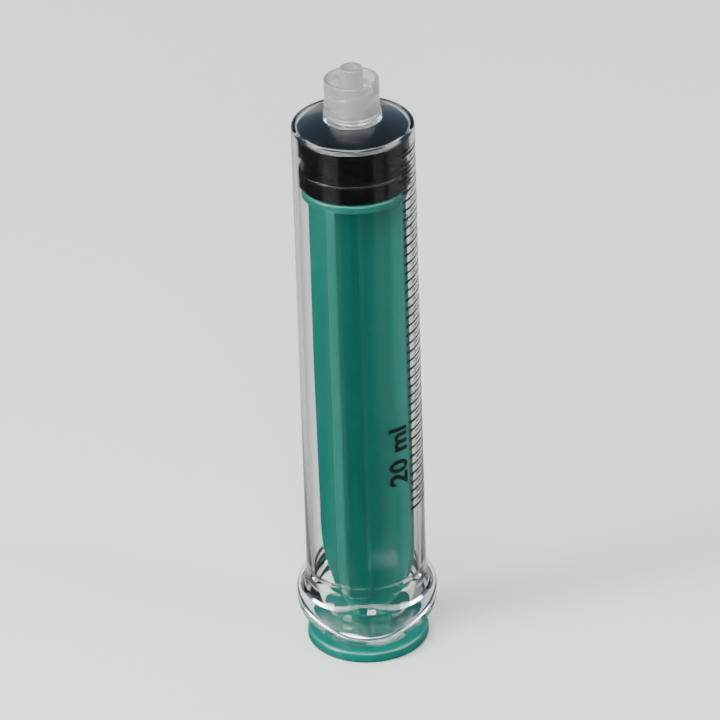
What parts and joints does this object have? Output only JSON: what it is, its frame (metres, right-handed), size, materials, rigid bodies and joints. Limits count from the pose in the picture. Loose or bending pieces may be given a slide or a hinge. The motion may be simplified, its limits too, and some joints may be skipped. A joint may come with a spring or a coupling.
{
  "type": "luer lock syringe",
  "caption": "Three-part disposable syringe with a clear barrel, luer lock tip, green plunger rod with crossed fins and black rubber stopper, standing on its thumb rest.",
  "frame": {"origin": "centre of the thumb rest's underside, on the plunger's axis, with the plunger fully home", "axes": "+Z along the long axis towards the luer tip; the wings of the finger flange lie along Y; the graduated scale faces +X"},
  "size_m": [0.0248, 0.038, 0.1124],
  "materials": {
    "clear_barrel": "clear polypropylene, smooth",
    "green_rod": "green polypropylene, satin",
    "black_rubber": "moulded rubber, silicone wetted"
  },
  "bodies": {
    "barrel": {"barrel": "clear_barrel"},
    "stopper": {"stopper": "black_rubber"},
    "plunger": {"plunger_rod": "green_rod"}
  },
  "joints": [
    {"name": "plunger_slide", "type": "slide", "parent": "barrel", "child": "stopper", "axis": [0, 0, -1], "range_m": [0, 0.076]},
    {"name": "plunger_turn", "type": "hinge", "parent": "stopper", "child": "plunger", "pos_m": [0, 0, 0.0917], "axis": [0, 0, 1], "continuous": true}
  ]
}
